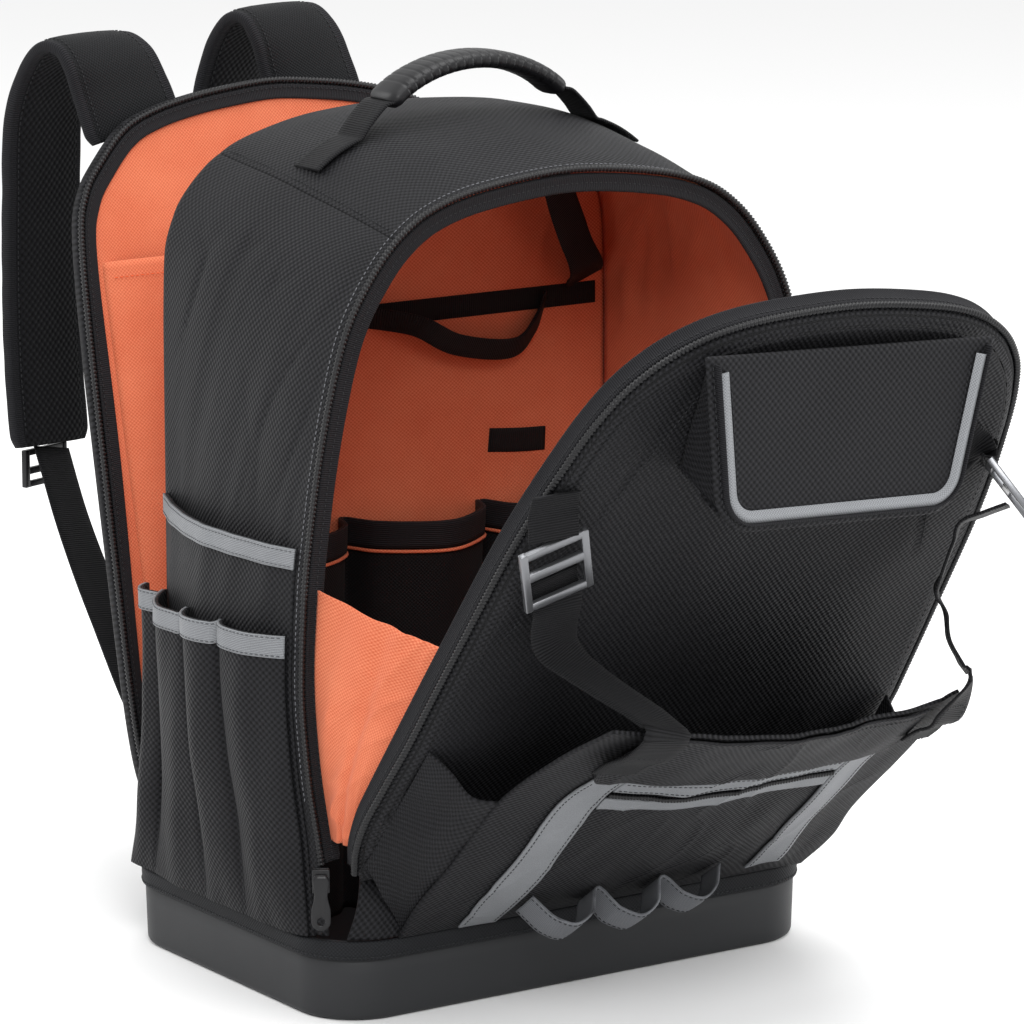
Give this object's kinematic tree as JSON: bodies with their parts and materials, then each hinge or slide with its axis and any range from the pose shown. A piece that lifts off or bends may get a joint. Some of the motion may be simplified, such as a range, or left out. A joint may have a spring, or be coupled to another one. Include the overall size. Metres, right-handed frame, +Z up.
{
  "type": "tool backpack",
  "caption": "Open tool backpack: cloth body on a moulded tub, lined, its hinged front flap let down, with cargo pocket, side pockets, carry handle and shoulder straps.",
  "frame": {"origin": "centre of the tub's underside, on the floor", "axes": "+Z up, the front flap opens towards -Y, +X to the right seen from the front"},
  "size_m": [0.3964, 0.6761, 0.5432],
  "materials": {
    "coarse_cloth": "coarse woven polyester with a slight sheen",
    "orange_lining": "fine plain-woven lining, matt",
    "edge_binding": "ribbed binding tape, matt",
    "webbing": "woven webbing, matt",
    "reflective_tape": "grey retro-reflective woven tape",
    "zip_coil": "moulded coil, satin",
    "tub_plastic": "finely grained moulded plastic",
    "hard_plastic": "smooth moulded plastic",
    "grip_rubber": "matt rubber with a raised pattern"
  },
  "bodies": {
    "bag": {"base_tub": "tub_plastic", "tub_rim_band": "edge_binding", "left_side_panel": "coarse_cloth", "top_panel": "coarse_cloth", "right_side_panel": "coarse_cloth", "body_lining": "orange_lining", "divider_wall": "orange_lining", "opening_binding": "edge_binding", "body_zip_coil": "zip_coil", "flap_shell": "coarse_cloth", "flap_edge_tape": "edge_binding", "flap_zip_coil": "zip_coil", "front_lower_panel": "coarse_cloth", "pocket_lid": "coarse_cloth", "pocket_lid_piping": "reflective_tape", "flap_pocket": "coarse_cloth", "cargo_panel": "coarse_cloth", "storm_flap": "coarse_cloth", "reflective_strip_left": "reflective_tape", "reflective_strip_right": "reflective_tape", "pocket_zip_tape_upper": "reflective_tape", "pocket_zip_tape_lower": "reflective_tape", "pocket_zip_coil": "zip_coil", "tool_loop_band": "webbing", "cargo_gusset_left": "coarse_cloth", "cargo_gusset_right": "coarse_cloth", "side_web_left": "orange_lining", "side_web_right": "orange_lining", "back_panel": "coarse_cloth", "back_panel_lining": "orange_lining", "back_panel_binding": "edge_binding", "back_zip_coil": "zip_coil", "laptop_sleeve": "orange_lining", "rear_gusset_left": "coarse_cloth", "rear_gusset_right": "coarse_cloth", "side_pocket_upper": "coarse_cloth", "side_pocket_upper_binding": "reflective_tape", "side_pockets_lower": "coarse_cloth", "side_pockets_lower_binding": "reflective_tape", "zip_slider_left": "hard_plastic", "zip_slider_right": "hard_plastic", "handle_grip": "grip_rubber", "handle_webbing_left": "webbing", "handle_webbing_right": "webbing", "shoulder_pad_left": "coarse_cloth", "shoulder_pad_right": "coarse_cloth", "shoulder_webbing_left": "webbing", "ladder_lock_left": "hard_plastic", "shoulder_webbing_right": "webbing", "ladder_lock_right": "hard_plastic", "front_strap_upper_left": "webbing", "front_buckle_left": "hard_plastic", "front_strap_lower_left": "webbing", "front_strap_upper_right": "webbing", "front_buckle_right": "hard_plastic", "front_strap_lower_right": "webbing", "inner_tool_pockets": "coarse_cloth", "inner_strap_band": "webbing", "inner_webbing": "webbing"},
    "pull_tab": {"zip_pull_tab_left": "hard_plastic"}
  },
  "joints": [
    {"name": "pull_tab_hinge", "type": "hinge", "parent": "bag", "child": "pull_tab", "pos_m": [-0.17941, -0.11514, 0.0916], "axis": [-0.829, 0.5592, 0], "range_deg": [0, 110]}
  ]
}
